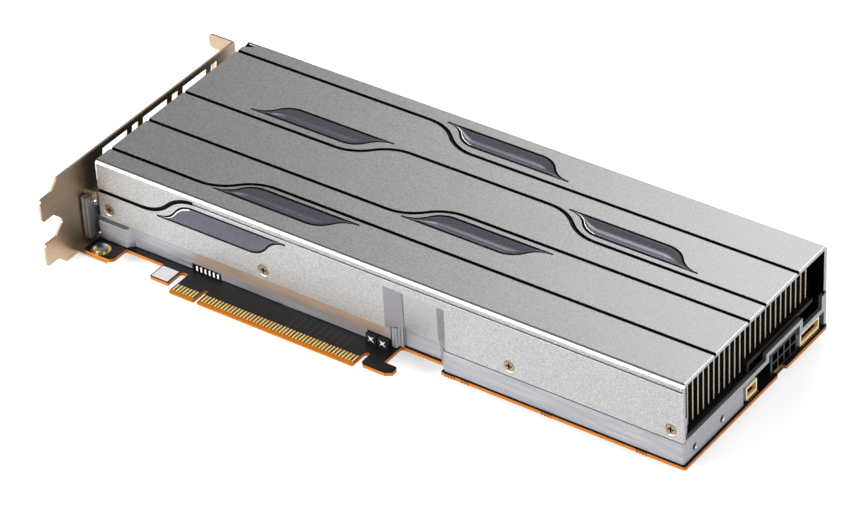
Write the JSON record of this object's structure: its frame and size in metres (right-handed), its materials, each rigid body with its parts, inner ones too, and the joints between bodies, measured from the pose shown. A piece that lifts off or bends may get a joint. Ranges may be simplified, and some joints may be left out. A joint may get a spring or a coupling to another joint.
{
  "type": "passive accelerator card",
  "caption": "Passively cooled dual-slot PCI Express accelerator card with a shaped aluminium cover, open rear end with fins, edge fingers and a vented bracket.",
  "frame": {"origin": "centre of the key notch, on the finger edge, in the plane of the board's component face", "axes": "+X from the bracket towards the open rear end, +Y from the finger edge towards the card's top edge, +Z out of the component face towards the cover"},
  "size_m": [0.2796, 0.122, 0.0406],
  "materials": {
    "blasted_aluminium": "bead blasted, satin",
    "slate_anodised": "dark anodised, satin",
    "cast_aluminium": "fine milled",
    "board_mask": "black solder mask over glass-epoxy",
    "gold_plating": "hard gold plating",
    "nickel_steel": "nickel plated sheet",
    "screw_steel": "nickel plated",
    "copper_base": "nickel-washed copper alloy",
    "fin_aluminium": "plain sheet",
    "package_green": "laminate",
    "silicon": "polished silicon",
    "paste_grey": "thermal paste",
    "ferrite_grey": "pressed ferrite",
    "moulded_black": "moulded",
    "pad_grey": "soft thermal pad",
    "can_aluminium": "drawn can",
    "nylon_black": "moulded nylon",
    "nylon_cream": "moulded nylon",
    "pin_brass": "plated",
    "ceramic_chip": "tinned ends",
    "label_white": "plain label stock",
    "plate_black": "black coated aluminium sheet"
  },
  "bodies": {
    "root": {"top_cover": "blasted_aluminium", "top_inlays": "slate_anodised", "side_inlay": "slate_anodised", "base_frame": "cast_aluminium", "circuit_board": "board_mask", "edge_contacts": "gold_plating", "screw_pad": "gold_plating", "io_bracket": "nickel_steel", "bracket_board_screw": "screw_steel", "bracket_side_screw": "screw_steel", "cover_screws": "screw_steel", "heatsink_base": "copper_base", "heatsink_fins": "fin_aluminium", "processor_substrate": "package_green", "stiffener_ring": "nickel_steel", "processor_die": "silicon", "memory_stacks": "silicon", "thermal_paste": "paste_grey", "inductors": "ferrite_grey", "power_stages": "moulded_black", "thermal_pads": "pad_grey", "bulk_capacitors": "can_aluminium", "power_header": "nylon_black", "power_header_pins": "pin_brass", "sensor_header": "nylon_cream", "sensor_header_pins": "pin_brass", "signal_header": "nylon_cream", "signal_header_pins": "pin_brass", "edge_chip_row": "ceramic_chip", "edge_chip_pair": "ceramic_chip", "control_chips": "moulded_black", "board_label": "label_white", "backplate": "plate_black", "backplate_spacers": "screw_steel", "backplate_screws": "screw_steel", "clamp_plate": "nickel_steel", "clamp_screws": "screw_steel"}
  },
  "joints": []
}
